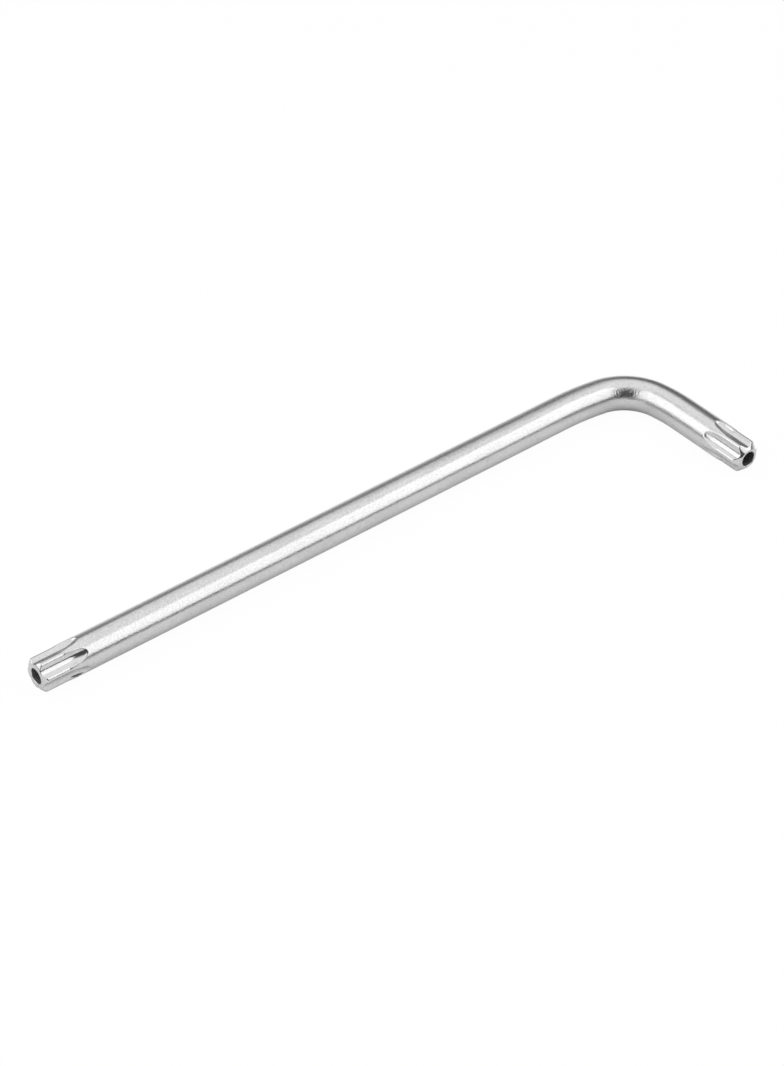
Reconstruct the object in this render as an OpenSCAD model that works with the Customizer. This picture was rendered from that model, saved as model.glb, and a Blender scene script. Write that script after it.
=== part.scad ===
// Star-drive key: one steel rod, bent once and formed into a six-lobed star
// with a blind pin hole at both ends. It lies on its side on z = 0, with the
// long arm along X, its tip towards -X, and the short arm pointing to -Y.
// The origin is under the middle of the key's outline. Sizes in millimetres.

/* [Rod] */
// Diameter of the round rod
shank_d = 6.8; // [6.7:0.1:9]
// Long arm's overall length, from its tip to the far side of the short arm
long_l = 144; // [100:1:220]
// Short arm's overall length, from its tip to the far side of the long arm
short_l = 37; // [32:0.5:60]

/* [Bend] */
// Centreline radius of the tight middle of the bend
bend_r = 10; // [8:0.5:14]
// Centreline radius of the gentle curve between the long arm and the bend
lead_in_r = 52; // [30:1:70]
// Turn of that gentle curve, in degrees
lead_in_turn = 10.4; // [4:0.2:14]
// Centreline radius of the gentle curve between the bend and the short arm
lead_out_r = 35; // [20:1:45]
// Turn of that gentle curve, in degrees
lead_out_turn = 10.8; // [4:0.2:14]

/* [Star] */
// Diameter across the crests of opposite ridges
star_d = 6.6; // [6.2:0.05:6.65]
// Diameter across the bottoms of opposite flutes
root_d = 4.85; // [4.5:0.05:5.2]
// Radius of a flute's round section
flute_r = 1.42; // [1.2:0.02:1.6]
// Length of a flute's straight part, from the end face
flute_l = 5.9; // [4:0.1:8]
// Length over which a flute then curves up to the rod's surface
runout_l = 3.6; // [2.5:0.1:5]
// Length of the ridges' rounded crests, from the end face
crest_l = 5.2; // [3:0.1:6]
// Length over which a crest then widens out to the rod's surface
blend_l = 1.8; // [0.8:0.1:3]
// Turn of the long arm's star, in degrees from a ridge on top towards +Y
long_star_turn = -16; // [-30:0.1:30]
// Turn of the short arm's star, in degrees from a ridge on top towards -X
short_star_turn = 25.5; // [-30:0.1:30]

/* [Ends] */
// Diameter of the flat end face on the long arm
long_face_d = 5.15; // [4.6:0.05:5.8]
// Length of the cone from that face to the ridges' crests
long_cone_l = 0.55; // [0.3:0.05:1.5]
// Diameter of the flat end face on the short arm
short_face_d = 3.9; // [3.7:0.05:5.8]
// Length of the cone from that face to the ridges' crests
short_cone_l = 1.15; // [0.3:0.05:1.5]

/* [Pin holes] */
// Diameter of the blind hole in each end
hole_d = 3.1; // [2.5:0.05:3.5]
// Depth of the hole's full diameter
hole_l = 6; // [3:0.5:12]
// Angle of the drill point at the hole's bottom, in degrees
point_angle = 118; // [90:1:140]

/* [Hidden] */
$fn = 96;
// How far a cutting shape runs past what it cuts
past = 0.2;
// Number of flutes round each star
flutes = 6;

shank_r = shank_d / 2;
// The arms' centrelines meet at the corner; these run from it to the end faces
long_axis_l = long_l - shank_r;
short_axis_l = short_l - shank_r;

// How much of each arm's centreline the whole bend takes up
bend_along_long = lead_out_r
    + (lead_in_r - bend_r) * sin(lead_in_turn)
    + (bend_r - lead_out_r) * cos(lead_out_turn);
bend_along_short = lead_in_r
    + (bend_r - lead_in_r) * cos(lead_in_turn)
    + (lead_out_r - bend_r) * sin(lead_out_turn);
long_straight_l = long_axis_l - bend_along_long;
short_straight_l = short_axis_l - bend_along_short;

star_r = star_d / 2;
half_pitch = 180 / flutes;
// Distance from the rod's axis to the centre of a flute's section
flute_axis_r = root_d / 2 + flute_r;
// The same for a crest's section, if it touches the flutes on both its sides
touching_axis_r = ((star_r + flute_r) ^ 2 - flute_axis_r ^ 2)
    / (2 * (star_r + flute_r - flute_axis_r * cos(half_pitch)));
// A crest is a little larger than that, so that it flows into the flutes
crest_r = 1.02 * (star_r - touching_axis_r);
crest_axis_r = star_r - crest_r;
// Distance from the rod's axis at which a crest runs into its flutes
flank_turn = atan2(flute_axis_r * sin(half_pitch),
    flute_axis_r * cos(half_pitch) - crest_axis_r);
flank_r = crest_axis_r + crest_r * cos(flank_turn);

// The arc on which a flute's bottom rises to the rod's surface; it goes on past
// the surface until the whole cutter has left the rod
flute_depth = shank_r - root_d / 2;
rise_r = (runout_l ^ 2 + flute_depth ^ 2) / (2 * flute_depth);
rise_turn = acos(1 - flute_depth / rise_r) + 15;

// Direction, from the ridge's middle, of the flute's edge on the rod's surface
edge_turn = half_pitch
    - acos((shank_r ^ 2 + flute_axis_r ^ 2 - flute_r ^ 2) / (2 * shank_r * flute_axis_r));
// Radius at which a widening crest has just taken in that edge
widest_r = 1.03 * norm([shank_r * cos(edge_turn) - crest_axis_r, shank_r * sin(edge_turn)]);

// Moves its children by v in two steps, first to a whole hundredth and then by
// the small rest, so that the curves of the bend meet with no rounding gap
module move_finely(v) {
    whole = [for (c = v) round(c * 100) / 100];
    translate(whole) translate(v - whole) children();
}

// A curved length of rod round the origin, from one polar angle to another
module curve(r, from, to) {
    rotate_extrude(angle = to - from, start = from)
        translate([r, 0]) circle(d = shank_d);
}

// The bent rod with plain ends, from the long arm round to the short arm; the
// corner is at the origin, and each frame is at the centre of the next curve
module bent_rod() {
    translate([-bend_along_long, -lead_in_r, 0]) {
        translate([0, lead_in_r, 0]) rotate([0, -90, 0])
            cylinder(d = shank_d, h = long_straight_l);
        curve(lead_in_r, 90 - lead_in_turn, 90);
        move_finely((lead_in_r - bend_r) * [sin(lead_in_turn), cos(lead_in_turn), 0]) {
            curve(bend_r, lead_out_turn, 90 - lead_in_turn);
            move_finely((bend_r - lead_out_r) * [cos(lead_out_turn), sin(lead_out_turn), 0]) {
                curve(lead_out_r, 0, lead_out_turn);
                translate([lead_out_r, 0, 0]) rotate([90, 0, 0])
                    cylinder(d = shank_d, h = short_straight_l);
            }
        }
    }
}

// The tip modules below share one frame: the end face is on z = 0, the rod
// runs away to -z, and x points to the top of the key.

// Cutter for one flute: straight from the end face, then rising out of the rod
module flute() {
    translate([flute_axis_r, 0, -flute_l]) {
        cylinder(r = flute_r, h = flute_l + past);
        translate([rise_r - flute_r, 0, 0])
            rotate([90, 0, 0])
                rotate_extrude(angle = rise_turn, start = 180)
                    translate([rise_r - flute_r, 0]) circle(r = flute_r);
    }
}

// Cutter that rounds the crest of one ridge, which points along x: a block
// that leaves out the crest's own form, which widens behind crest_l
module crest() {
    difference() {
        translate([flank_r, -2 * crest_r, -crest_l - blend_l])
            cube([shank_r - flank_r + past, 4 * crest_r, crest_l + blend_l + past]);
        translate([crest_axis_r, 0, -crest_l]) {
            cylinder(r = crest_r, h = crest_l + 2 * past);
            translate([0, 0, -blend_l]) cylinder(r1 = widest_r, r2 = crest_r, h = blend_l);
        }
    }
}

// What forming takes off round the star; a ridge points along x at turn = 0
module star_cut(turn) {
    for (i = [0 : flutes - 1]) {
        rotate([0, 0, turn + i * 360 / flutes]) crest();
        rotate([0, 0, turn + half_pitch + i * 360 / flutes]) flute();
    }
}

// What the end cone takes off, outside a flat face of diameter face_d
module cone_cut(face_d, cone_l) {
    slope = (star_r - face_d / 2) / cone_l;
    outer_r = shank_r + past;
    rotate_extrude() polygon([
        [face_d / 2 - past * slope, past],
        [outer_r, (face_d / 2 - outer_r) / slope],
        [outer_r, past]
    ]);
}

// The blind pin hole with its drill point
module pin_hole() {
    point_l = hole_d / 2 / tan(point_angle / 2);
    translate([0, 0, -hole_l]) cylinder(d = hole_d, h = hole_l + past);
    translate([0, 0, -hole_l - point_l])
        cylinder(d1 = 0, d2 = hole_d, h = point_l);
}

module tip_cut(turn, face_d, cone_l) {
    star_cut(turn);
    cone_cut(face_d, cone_l);
    pin_hole();
}

module star_key() {
    color([0.76, 0.76, 0.77])
        translate([long_l / 2 - shank_r, short_l / 2 - shank_r, shank_r])
            difference() {
                bent_rod();
                translate([-long_axis_l, 0, 0]) rotate([0, -90, 0])
                    tip_cut(long_star_turn, long_face_d, long_cone_l);
                translate([0, -short_axis_l, 0]) rotate([0, 0, 90]) rotate([0, -90, 0])
                    tip_cut(short_star_turn, short_face_d, short_cone_l);
            }
}

star_key();
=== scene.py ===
# The looks of the star-drive key: one bent rod of satin plated steel, with a
# star pressed into each end and a blind pin hole in each end face, lying on
# its side on a pale table. Sizes are in metres, made from millimetres by mm.
from collections import namedtuple
from math import acos, atan2, ceil, cos, hypot, pi, radians, sin, sqrt, tan

import bmesh
import bpy
from mathutils import Matrix, Vector


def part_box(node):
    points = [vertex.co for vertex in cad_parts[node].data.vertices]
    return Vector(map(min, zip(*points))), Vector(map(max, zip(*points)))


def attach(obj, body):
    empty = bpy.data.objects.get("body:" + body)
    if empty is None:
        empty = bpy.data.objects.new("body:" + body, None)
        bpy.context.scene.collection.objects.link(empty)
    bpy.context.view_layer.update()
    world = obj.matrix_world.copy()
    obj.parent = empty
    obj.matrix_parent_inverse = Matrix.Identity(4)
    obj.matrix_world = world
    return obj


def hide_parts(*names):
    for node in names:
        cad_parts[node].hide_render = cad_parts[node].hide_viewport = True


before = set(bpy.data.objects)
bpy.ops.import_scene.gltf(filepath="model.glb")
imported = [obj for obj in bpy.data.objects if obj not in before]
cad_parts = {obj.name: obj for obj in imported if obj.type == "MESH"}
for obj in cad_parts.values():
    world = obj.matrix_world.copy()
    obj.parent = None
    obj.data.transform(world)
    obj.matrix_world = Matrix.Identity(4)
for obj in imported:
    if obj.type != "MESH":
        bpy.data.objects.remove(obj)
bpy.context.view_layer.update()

mm = 0.001

# ---------------------------------------------------------------- sizes

# The rod's size and the places of its ends come from the frame. The arms'
# centrelines meet at the corner.
LOWEST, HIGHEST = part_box("star_key")
ROD_R = (HIGHEST.z - LOWEST.z) / 2
CORNER = HIGHEST - Vector((ROD_R, ROD_R, ROD_R))
UP = Vector((0, 0, 1))

# The bend is a gentle curve, a tight one and another gentle one.
Curve = namedtuple("Curve", "radius turn")
LEAD_IN = Curve(52 * mm, radians(10.4))
LEAD_OUT = Curve(35 * mm, radians(10.8))
TIGHT = Curve(10 * mm, pi / 2 - LEAD_IN.turn - LEAD_OUT.turn)

# The star in section: round flutes between ridges with round crests.
FLUTES = 6
HALF_PITCH = pi / FLUTES
STAR_R = 3.3 * mm
ROOT_R = 2.425 * mm
FLUTE_R = 1.42 * mm

# The star along the rod, from the end face: how long a flute is straight, over
# what length it then rises to the rod's surface, how long a crest keeps its
# section, and over what length it then widens.
FLUTE_L = 5.9 * mm
RUNOUT_L = 3.6 * mm
CREST_L = 5.2 * mm
BLEND_L = 1.8 * mm

# An edge is rounded where the depths under its two surfaces differ by less.
SOFTNESS = 0.12 * mm

# Each end: the middle of its face, the way into the rod, the side that a turn
# from the top leads to, the turn of a ridge, and the flat face with its cone.
Tip = namedtuple("Tip", "end way_in side turn face_r cone_l")
LONG_TIP = Tip(Vector((LOWEST.x, CORNER.y, CORNER.z)), Vector((1, 0, 0)), Vector((0, 1, 0)),
               turn=radians(-16), face_r=2.575 * mm, cone_l=0.55 * mm)
SHORT_TIP = Tip(Vector((CORNER.x, LOWEST.y, CORNER.z)), Vector((0, 1, 0)), Vector((-1, 0, 0)),
                turn=radians(25.5), face_r=1.95 * mm, cone_l=1.15 * mm)

# The blind pin hole in each end, with its drill point.
HOLE_R = 1.55 * mm
HOLE_L = 6 * mm
POINT_L = HOLE_R / tan(radians(118 / 2))

# The mesh: points round the rod, rings along a star, a hole and its point, and
# the spacing of rings on the plain rod and round the bend. The outer edge of an
# end face is broken by EDGE, and the hole's mouth by twice that.
AROUND = 216
STAR_RINGS = 105
HOLE_RINGS = 12
POINT_RINGS = 6
STRAIGHT_STEP = 3 * mm
BEND_STEP = radians(2.5)
EDGE = 0.04 * mm

# What follows from them, first in the star's section. A crest is a little
# larger than one that would only touch its flutes, so that it flows into them.
FLUTE_AXIS_R = ROOT_R + FLUTE_R
SUM_R = STAR_R + FLUTE_R
TOUCHING_R = (SUM_R ** 2 - FLUTE_AXIS_R ** 2) / (2 * (SUM_R - FLUTE_AXIS_R * cos(HALF_PITCH)))
CREST_R = 1.02 * (STAR_R - TOUCHING_R)
CREST_AXIS_R = STAR_R - CREST_R
FLANK_TURN = atan2(FLUTE_AXIS_R * sin(HALF_PITCH), FLUTE_AXIS_R * cos(HALF_PITCH) - CREST_AXIS_R)
FLANK_R = CREST_AXIS_R + CREST_R * cos(FLANK_TURN)

# The arc on which a flute rises, where its rim lies on the rod's surface, and
# the radius at which a widening crest has just taken in that rim.
FLUTE_DEPTH = ROD_R - ROOT_R
RISE_R = (RUNOUT_L ** 2 + FLUTE_DEPTH ** 2) / (2 * FLUTE_DEPTH)
RIM_TURN = HALF_PITCH - acos((ROD_R ** 2 + FLUTE_AXIS_R ** 2 - FLUTE_R ** 2) / (2 * ROD_R * FLUTE_AXIS_R))
WIDEST_R = 1.03 * hypot(ROD_R * cos(RIM_TURN) - CREST_AXIS_R, ROD_R * sin(RIM_TURN))
# The star's fine rings end a little past its flutes.
STAR_REACH = FLUTE_L + RUNOUT_L + 0.9 * mm

# The centres of the bend's three curves, from the long arm to the short one.
BEND_ALONG_LONG = (LEAD_OUT.radius + (LEAD_IN.radius - TIGHT.radius) * sin(LEAD_IN.turn)
                   + (TIGHT.radius - LEAD_OUT.radius) * cos(LEAD_OUT.turn))
LEAD_IN_CENTRE = CORNER + Vector((-BEND_ALONG_LONG, -LEAD_IN.radius, 0))
TIGHT_CENTRE = LEAD_IN_CENTRE + (LEAD_IN.radius - TIGHT.radius) * Vector((
    sin(LEAD_IN.turn), cos(LEAD_IN.turn), 0))
LEAD_OUT_CENTRE = TIGHT_CENTRE + (TIGHT.radius - LEAD_OUT.radius) * Vector((
    cos(LEAD_OUT.turn), sin(LEAD_OUT.turn), 0))
# The arms are straight from their end faces this far.
LONG_STRAIGHT_L = LEAD_IN_CENTRE.x - LONG_TIP.end.x
SHORT_STRAIGHT_L = LEAD_OUT_CENTRE.y - SHORT_TIP.end.y


# ---------------------------------------------------------------- modelling

def only(thing):
    """Makes one object the selected and active one."""
    bpy.ops.object.select_all(action="DESELECT")
    thing.select_set(True)
    bpy.context.view_layer.objects.active = thing


def soft_min(a, b):
    """The smaller of two depths, with the edge where they are equal rounded off."""
    h = max(SOFTNESS - abs(a - b), 0) / SOFTNESS
    return min(a, b) - h * h * SOFTNESS / 4


def steel_over(radius, turn, inward, tip):
    """How much steel there is over a point of a tip: negative outside the steel.
    The turn is from the middle of a ridge, and inward is from the end face."""
    turn = abs((turn + HALF_PITCH) % (2 * HALF_PITCH) - HALF_PITCH)
    # The nearest flute, which is straight and then rises on its arc.
    x, y = radius * cos(HALF_PITCH - turn), radius * sin(HALF_PITCH - turn)
    rising = hypot(FLUTE_AXIS_R + RISE_R - FLUTE_R - x, max(inward - FLUTE_L, 0))
    depth = soft_min(ROD_R - radius, hypot(rising - RISE_R + FLUTE_R, y) - FLUTE_R)
    if inward < CREST_L + BLEND_L:
        # The ridge's crest, which keeps its section and then widens.
        x, y = radius * cos(turn), radius * sin(turn)
        widened = max(inward - CREST_L, 0) / BLEND_L
        crest_r = CREST_R + (WIDEST_R - CREST_R) * widened
        depth = soft_min(depth, max(crest_r - hypot(x - CREST_AXIS_R, y), FLANK_R - x))
    # The cone round the end face.
    slope = (STAR_R - tip.face_r) / tip.cone_l
    return soft_min(depth, (tip.face_r + slope * inward - radius) / sqrt(1 + slope ** 2))


def tip_radius(turn, inward, tip):
    """The radius of a tip's surface, found by halving the span it lies in."""
    halvings = 18
    low, high = HOLE_R, 1.1 * ROD_R
    for _ in range(halvings):
        middle = (low + high) / 2
        if steel_over(middle, turn, inward, tip) > 0:
            low = middle
        else:
            high = middle
    return low


def draw_on(length, steps):
    """Draws the selected ring on by length, a vector, in equal steps."""
    for _ in range(steps):
        bpy.ops.mesh.extrude_region_move(TRANSFORM_OT_translate={"value": length / steps})


def spin_on(curve, centre):
    """Spins the selected ring round one curve of the bend, towards the short arm."""
    bpy.ops.mesh.spin(steps=ceil(curve.turn / BEND_STEP), angle=curve.turn, center=centre, axis=(0, 0, 1))


def draw_rod():
    """A plain tube along both arms, drawn from a circle at the long arm's end."""
    bpy.ops.object.select_all(action="DESELECT")
    bpy.ops.mesh.primitive_circle_add(
        vertices=AROUND, radius=ROD_R, location=LONG_TIP.end, rotation=(0, pi / 2, 0))
    rod = bpy.context.object
    rod.name = "plated_key"
    bpy.ops.object.transform_apply()
    bpy.ops.object.mode_set(mode="EDIT")
    bpy.ops.mesh.select_all(action="SELECT")
    draw_on(LONG_TIP.way_in * EDGE, 1)
    draw_on(LONG_TIP.way_in * (STAR_REACH - EDGE), STAR_RINGS)
    plain_l = LONG_STRAIGHT_L - STAR_REACH
    draw_on(LONG_TIP.way_in * plain_l, ceil(plain_l / STRAIGHT_STEP))
    spin_on(LEAD_IN, LEAD_IN_CENTRE)
    spin_on(TIGHT, TIGHT_CENTRE)
    spin_on(LEAD_OUT, LEAD_OUT_CENTRE)
    plain_l = SHORT_STRAIGHT_L - STAR_REACH
    draw_on(-SHORT_TIP.way_in * plain_l, ceil(plain_l / STRAIGHT_STEP))
    draw_on(-SHORT_TIP.way_in * (STAR_REACH - EDGE), STAR_RINGS)
    draw_on(-SHORT_TIP.way_in * EDGE, 1)
    bpy.ops.object.mode_set(mode="OBJECT")
    return rod


def tip_place(tip, radius, turn, inward):
    """A point of a tip, from its radius, its turn from the top and its depth."""
    return tip.end + tip.way_in * inward + radius * (cos(turn) * UP + sin(turn) * tip.side)


def press_star(rod, tip):
    """Presses the star and the end cone into the rings next to one end."""
    for vertex in rod.data.vertices:
        arm = vertex.co - tip.end
        inward = arm.dot(tip.way_in)
        if inward < STAR_REACH - EDGE:
            turn = atan2(arm.dot(tip.side), arm.dot(UP))
            radius = tip_radius(turn - tip.turn, inward, tip)
            if inward < EDGE / 2:
                radius -= EDGE
            vertex.co = tip_place(tip, radius, turn, inward)


def close_end(rod, tip):
    """The flat end face and the pin hole with its drill point, ring by ring."""
    # Each ring's radius and depth. The first follows the star's own outline.
    mouth_r = HOLE_R + 2 * EDGE
    rings = [(None, 0), (mouth_r + EDGE, 0), (mouth_r, 0), (HOLE_R, 2 * EDGE), (HOLE_R, 4 * EDGE)]
    rings += [(HOLE_R, HOLE_L * step / HOLE_RINGS) for step in range(1, HOLE_RINGS + 1)]
    rings += [(HOLE_R * (1 - step / POINT_RINGS), HOLE_L + POINT_L * step / POINT_RINGS)
              for step in range(1, POINT_RINGS)]
    only(rod)
    bpy.ops.object.mode_set(mode="EDIT")
    bpy.ops.mesh.select_all(action="DESELECT")
    mesh = bmesh.from_edit_mesh(rod.data)
    for edge in mesh.edges:
        if all(abs((v.co - tip.end).dot(tip.way_in)) < EDGE / 2 for v in edge.verts):
            edge.select_set(True)
    for radius, inward in rings:
        bpy.ops.mesh.extrude_region_move()
        mesh = bmesh.from_edit_mesh(rod.data)
        for vertex in mesh.verts:
            if vertex.select:
                arm = vertex.co - tip.end
                turn = atan2(arm.dot(tip.side), arm.dot(UP))
                reach = radius or hypot(arm.dot(tip.side), arm.dot(UP)) - EDGE
                vertex.co = tip_place(tip, reach, turn, inward)
    bpy.ops.mesh.extrude_region_move()
    bpy.ops.mesh.merge(type="CENTER")
    mesh = bmesh.from_edit_mesh(rod.data)
    for vertex in mesh.verts:
        if vertex.select:
            vertex.co = tip.end + tip.way_in * (HOLE_L + POINT_L)
    bpy.ops.object.mode_set(mode="OBJECT")


def straightened(point):
    """Where a point would be if the rod were drawn out straight along X from the
    long arm's end face."""
    if point.x < LEAD_IN_CENTRE.x:
        return point - LONG_TIP.end
    along, start = LONG_STRAIGHT_L, 0
    for curve, centre in ((LEAD_IN, LEAD_IN_CENTRE), (TIGHT, TIGHT_CENTRE), (LEAD_OUT, LEAD_OUT_CENTRE)):
        arm = point - centre
        turn = atan2(arm.x, arm.y) - start
        if turn < curve.turn:
            return Vector((along + curve.radius * max(turn, 0), hypot(arm.x, arm.y) - curve.radius, arm.z))
        along += curve.radius * curve.turn
        start += curve.turn
    return Vector((along + LEAD_OUT_CENTRE.y - point.y, point.x - CORNER.x, point.z - CORNER.z))


def note_straight(rod):
    """Keeps each point's place on the straight rod, for finishes that follow it."""
    straight = rod.data.attributes.new("straight", "FLOAT_VECTOR", "POINT")
    for vertex, mark in zip(rod.data.vertices, straight.data):
        mark.vector = straightened(vertex.co)


def make_key():
    """The whole key as one closed mesh: the rod, then a star and a hole at each end."""
    rod = draw_rod()
    for tip in (LONG_TIP, SHORT_TIP):
        press_star(rod, tip)
        close_end(rod, tip)
    bpy.ops.object.mode_set(mode="EDIT")
    bpy.ops.mesh.select_all(action="SELECT")
    bpy.ops.mesh.normals_make_consistent(inside=False)
    bpy.ops.object.mode_set(mode="OBJECT")
    note_straight(rod)
    return rod


# ---------------------------------------------------------------- finishes

class Value:
    """A shader socket. Used in an expression, it adds the Math nodes for it."""

    def __init__(self, nodes, socket):
        self.nodes, self.socket = nodes, socket

    def math(self, operation, first, second):
        return self.nodes.add("ShaderNodeMath", {"operation": operation}, {0: first, 1: second})

    def __add__(self, other):
        return self.math("ADD", self, other)

    def __sub__(self, other):
        return self.math("SUBTRACT", self, other)

    def __rsub__(self, other):
        return self.math("SUBTRACT", other, self)

    def __mul__(self, other):
        return self.math("MULTIPLY", self, other)

    __radd__, __rmul__ = __add__, __mul__


class Nodes:
    """The node tree of a material or of the world."""

    def __init__(self, owner):
        owner.use_nodes = True
        self.tree = owner.node_tree
        self.tree.nodes.clear()

    def add(self, kind, settings=None, sockets=None, output=0):
        """One node: its settings first, then the values or links of its sockets."""
        node = self.tree.nodes.new(kind)
        for name, value in (settings or {}).items():
            setattr(node, name, value)
        for name, value in (sockets or {}).items():
            if isinstance(value, Value):
                self.tree.links.new(value.socket, node.inputs[name])
            else:
                node.inputs[name].default_value = value
        return Value(self, node.outputs[output]) if node.outputs else None

    def straight(self):
        """Each point's place on the straight rod, so that a finish follows the bend."""
        return self.add("ShaderNodeAttribute", {"attribute_name": "straight"}, None, "Vector")

    def part(self, vector, axis):
        """One number of a vector, by its axis."""
        return self.add("ShaderNodeSeparateXYZ", None, {0: vector}, axis)

    def toward(self, way, aim):
        """How nearly a direction points towards aim: 1 where it does."""
        return self.add("ShaderNodeVectorMath", {"operation": "DOT_PRODUCT"}, {0: way, 1: aim}, "Value")

    def noise(self, place, stretch, size, detail):
        """Noise from 0 to 1 with features of about that size, drawn out by stretch."""
        place = self.add("ShaderNodeMapping", None, {"Vector": place, "Scale": stretch})
        return self.add("ShaderNodeTexNoise", None, {
            "Vector": place, "Scale": 1 / size, "Detail": detail, "Roughness": 0.55})

    def ramp(self, value, low, high):
        """0 where the value is under low, 1 where it is over high, smooth between."""
        return self.add("ShaderNodeMapRange", {"interpolation_type": "SMOOTHSTEP"}, {
            "Value": value, "From Min": low, "From Max": high})

    def grey(self, amount, dark, light):
        """A neutral colour between two greys, by the Mix node's colour sockets."""
        factor, first, second, result = 0, 6, 7, 2
        return self.add("ShaderNodeMix", {"data_type": "RGBA"}, {
            factor: amount, first: (dark, dark, dark, 1), second: (light, light, light, 1)}, result)

    def metal(self, colour, roughness, bump):
        """A metal surface, as the material's output."""
        self.add("ShaderNodeOutputMaterial", None, {
            "Surface": self.add("ShaderNodeBsdfPrincipled", None, {
                "Base Color": colour, "Metallic": 1.0, "Roughness": roughness, "Normal": bump})})


def drawn_skin(nodes, straight):
    """1 on the rod's own drawn surface, and 0 where the star was pressed into it."""
    across = nodes.add("ShaderNodeVectorMath", {"operation": "MULTIPLY"}, {0: straight, 1: (0, 1, 1)})
    radius = nodes.add("ShaderNodeVectorMath", {"operation": "LENGTH"}, {0: across}, "Value")
    return nodes.ramp(radius, ROD_R - 0.2 * mm, ROD_R - 0.02 * mm)


def squeezed_skin(nodes, straight):
    """1 on the inside of the tight curve, where bending roughened the steel, else 0."""
    along, across = nodes.part(straight, "X"), nodes.part(straight, "Y")
    start = LONG_STRAIGHT_L + LEAD_IN.radius * LEAD_IN.turn
    end = start + TIGHT.radius * TIGHT.turn
    return (nodes.ramp(along, start - 2 * mm, start + 3 * mm)
            * (1 - nodes.ramp(along, end - 3 * mm, end + 2 * mm))
            * (1 - nodes.ramp(across, -0.8 * ROD_R, 0)))


def plated_steel():
    """Satin plating over drawn rod: a fine mottle, faint drawing lines, scuffs and
    soft clouds. The pressed star is smoother, and the inside of the bend rougher."""
    material = bpy.data.materials.new("plated_steel")
    nodes = Nodes(material)
    straight = nodes.straight()
    drawn = drawn_skin(nodes, straight)
    squeezed = squeezed_skin(nodes, straight)
    mottle = nodes.noise(straight, (0.9, 1, 1), 0.25 * mm, 1)
    grain = nodes.noise(straight, (1, 1, 1), 0.14 * mm, 2)
    lines = nodes.noise(straight, (0.02, 1, 1), 0.16 * mm, 3)
    scuffs = nodes.ramp(nodes.noise(straight, (0.12, 1, 1), 0.5 * mm, 3), 0.66, 0.78)
    clouds = nodes.noise(straight, (0.3, 1, 1), 3 * mm, 2)
    orange_peel = nodes.noise(straight, (1, 1, 1), 0.35 * mm, 0)
    colour = nodes.grey(nodes.ramp(mottle * 0.7 + clouds * 0.3 - scuffs * 0.45, 0.25, 0.75), 0.52, 0.67)
    roughness = 0.11 + drawn * 0.06 + mottle * 0.06 + grain * 0.04 + scuffs * 0.15
    height = mottle * 0.45 + clouds * 0.4 + grain * 0.1 + lines * 0.05 - scuffs * 0.15
    height = height * (0.35 + 0.65 * drawn) + orange_peel * squeezed
    bump = nodes.add("ShaderNodeBump", None, {"Height": height, "Strength": 1.0, "Distance": 0.045 * mm})
    nodes.metal(colour, roughness, bump)
    return material


def bore_steel_and_painted_shade():
    """The drilled hole: dull bare steel with the drill's rings, its colour painted darker as the shade deep
    in the hole.
    """
    material = bpy.data.materials.new("bore_steel_and_painted_shade")
    nodes = Nodes(material)
    straight = nodes.straight()
    rings = nodes.noise(straight, (1, 0.03, 0.03), 0.2 * mm, 2)
    specks = nodes.noise(straight, (1, 1, 1), 0.3 * mm, 2)
    bump = nodes.add("ShaderNodeBump", None, {"Height": rings + specks * 0.5, "Distance": 0.02 * mm})
    # The dark greys are partly bare steel and partly painted shade of the deep hole.
    nodes.metal(nodes.grey(specks, 0.3, 0.5), 0.42 + rings * 0.15, bump)
    return material


def finish_key(rod):
    """Plating all over, and bare steel inside both holes, painted darker as their shade."""
    rod.data.materials.append(plated_steel())
    rod.data.materials.append(bore_steel_and_painted_shade())
    bore = rod.data.materials.find("bore_steel_and_painted_shade")
    for face in rod.data.polygons:
        face.use_smooth = True
        for tip in (LONG_TIP, SHORT_TIP):
            arm = face.center - tip.end
            inward = arm.dot(tip.way_in)
            aside = hypot(arm.dot(tip.side), arm.dot(UP))
            if 3 * EDGE < inward < HOLE_L + POINT_L and aside < HOLE_R + EDGE / 2:
                face.material_index = bore


# ---------------------------------------------------------------- studio

VIEW_AZIMUTH, VIEW_ELEVATION = radians(-39.083), radians(38.849)
CAMERA_PLACE = Vector((-289.241, -351.387, 375.123)) * mm
LENS = 108.17

# Both softboxes stand this far from the key, with their lower and upper ends
# this high over the table.
SOFTBOX_DISTANCE, SOFTBOX_FOOT, SOFTBOX_TOP = 0.4, 0.07, 0.78

# Which way the dark flag and the pale sweep lie, as seen from the key.
FLAG_WAY = (0.79, 0.42, 0.44)
SWEEP_WAY = (0.31, 0.93, 0.21)


def add_camera():
    data = bpy.data.cameras.new("camera")
    data.lens = LENS
    camera = bpy.data.objects.new("camera", data)
    bpy.context.scene.collection.objects.link(camera)
    back = Vector((sin(VIEW_AZIMUTH) * cos(VIEW_ELEVATION),
                   -cos(VIEW_AZIMUTH) * cos(VIEW_ELEVATION), sin(VIEW_ELEVATION)))
    right = Vector((cos(VIEW_AZIMUTH), sin(VIEW_AZIMUTH), 0))
    turned = Matrix((right, back.cross(right), back)).transposed().to_4x4()
    camera.matrix_world = Matrix.Translation(CAMERA_PLACE) @ turned
    bpy.context.scene.camera = camera


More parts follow.
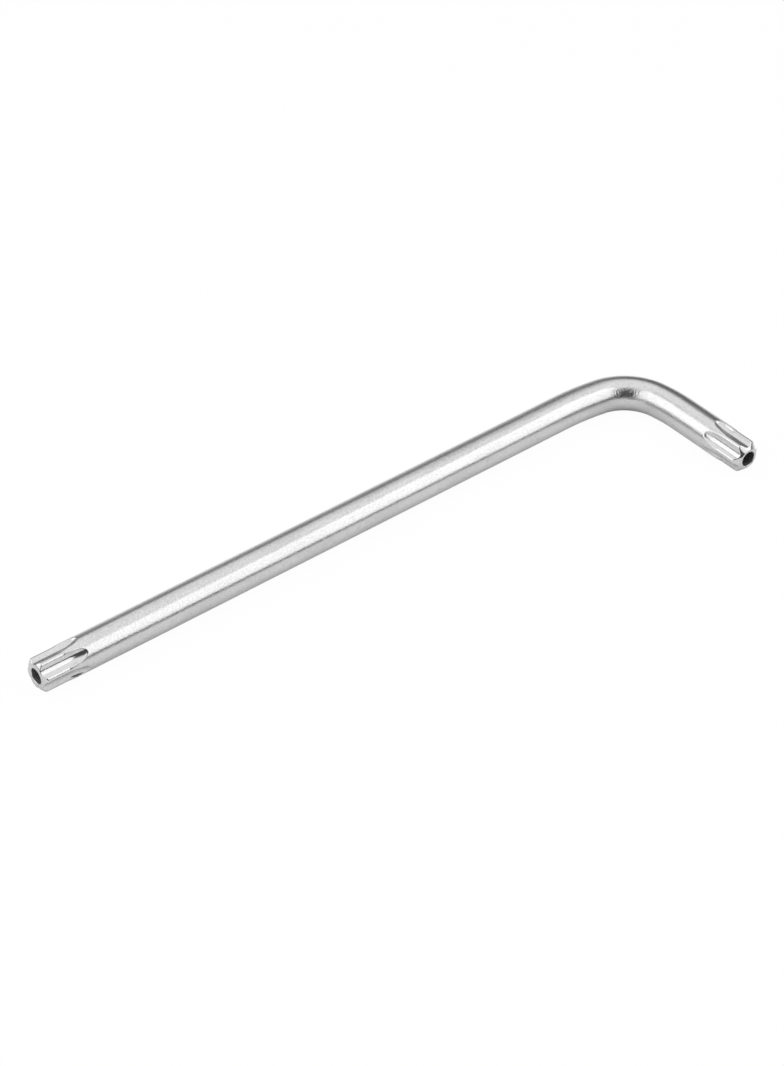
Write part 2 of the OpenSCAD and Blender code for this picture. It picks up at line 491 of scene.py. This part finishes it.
def add_softbox(name, shape, azimuth, width, brightness):
    """A tall upright softbox that faces the key. Azimuth 0 is in front, along -Y,
    and a brightness of 1 looks white."""
    way = Vector((sin(radians(azimuth)), -cos(radians(azimuth)), 0))
    data = bpy.data.lights.new(name, "AREA")
    data.shape = shape
    data.size, data.size_y = width, SOFTBOX_TOP - SOFTBOX_FOOT
    area = data.size * data.size_y * (pi / 4 if shape == "ELLIPSE" else 1)
    data.energy = brightness * pi * area
    lamp = bpy.data.objects.new(name, data)
    bpy.context.scene.collection.objects.link(lamp)
    lamp.location = way * SOFTBOX_DISTANCE + UP * (SOFTBOX_FOOT + SOFTBOX_TOP) / 2
    lamp.rotation_euler = way.to_track_quat("Z", "Y").to_euler()


def shown_white(nodes, metal_share):
    """How far the background is plain white: wholly to the camera, partly in metal and glass."""
    camera, glossy, transmission = (
        nodes.add("ShaderNodeLightPath", None, None, ray)
        for ray in ("Is Camera Ray", "Is Glossy Ray", "Is Transmission Ray"))
    return camera + metal_share * (glossy + transmission)


def add_table():
    """A pale table that keeps a trace of the key's shadow. In the metal it shows
    darker close to the key than out in the open."""
    bpy.ops.object.select_all(action="DESELECT")
    bpy.ops.mesh.primitive_plane_add(size=6)
    table = bpy.context.object
    table.name = "table"
    material = bpy.data.materials.new("pale_table")
    nodes = Nodes(material)
    lit = nodes.add("ShaderNodeBsdfDiffuse", None, {"Color": (0.97, 0.97, 0.97, 1)})
    white = nodes.add("ShaderNodeEmission", None, {"Strength": 1.0})
    # Ambient occlusion cuts the white's share in the metal near the key: painted shade round the key's foot.
    in_the_open = nodes.add("ShaderNodeAmbientOcclusion", {"samples": 4}, {"Distance": 20 * mm}, "AO")
    share = 0.97 * shown_white(nodes, 0.25 * in_the_open)
    nodes.add("ShaderNodeOutputMaterial", None, {
        "Surface": nodes.add("ShaderNodeMixShader", None, {0: share, 1: lit, 2: white})})
    table.data.materials.append(material)


def add_room():
    """The room round the key, with walls that are dim low down and darkest behind
    the camera, a bright ceiling, a dark flag and a pale sweep."""
    world = bpy.data.worlds.new("room")
    bpy.context.scene.world = world
    nodes = Nodes(world)
    way = nodes.add("ShaderNodeTexCoord", None, None, "Generated")
    height = nodes.part(way, "Z")
    facing = nodes.toward(way, (sin(VIEW_AZIMUTH), -cos(VIEW_AZIMUTH), 0))
    walls = 0.12 + 0.18 * nodes.ramp(height, 0.0, 0.2)
    # The ceiling comes down lower behind the key than over the camera.
    front, behind = nodes.ramp(height, 0.8, 0.9), nodes.ramp(height, 0.46, 0.64)
    ceiling = behind + (front - behind) * nodes.ramp(facing, -0.4, -0.1)
    # The sweep is pale low down, with a dark gap between it and the ceiling.
    at_sweep = nodes.ramp(nodes.toward(way, SWEEP_WAY), 0.84, 0.92)
    sweep = at_sweep * (0.15 + 0.2 * behind - 0.35 * nodes.ramp(height, 0.28, 0.38))
    flag = nodes.ramp(nodes.toward(way, FLAG_WAY), 0.88, 0.95)
    behind_camera = nodes.ramp(facing, 0.1, 0.7)
    level = (walls + 0.9 * ceiling + sweep) * (1 - 0.92 * behind_camera) * (1 - 0.55 * flag)
    room = nodes.add("ShaderNodeBackground", None, {"Color": (1, 1, 1, 1), "Strength": level})
    white = nodes.add("ShaderNodeBackground", None, {"Color": (1, 1, 1, 1), "Strength": 1.0})
    nodes.add("ShaderNodeOutputWorld", None, {
        "Surface": nodes.add("ShaderNodeMixShader", None, {0: shown_white(nodes, 0.06), 1: room, 2: white})})


# ---------------------------------------------------------------- the key

key = make_key()
finish_key(key)
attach(key, "root")
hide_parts("star_key")

add_camera()
# The elliptical softbox leaves the end of the long tip's flute dark, and the
# rectangular one keeps the short tip's flute light.
add_softbox("right_softbox", "ELLIPSE", 41, 0.7, 1.32)
add_softbox("left_softbox", "RECTANGLE", -110, 0.78, 1.38)
add_table()
add_room()
bpy.context.scene.view_settings.view_transform = "Standard"
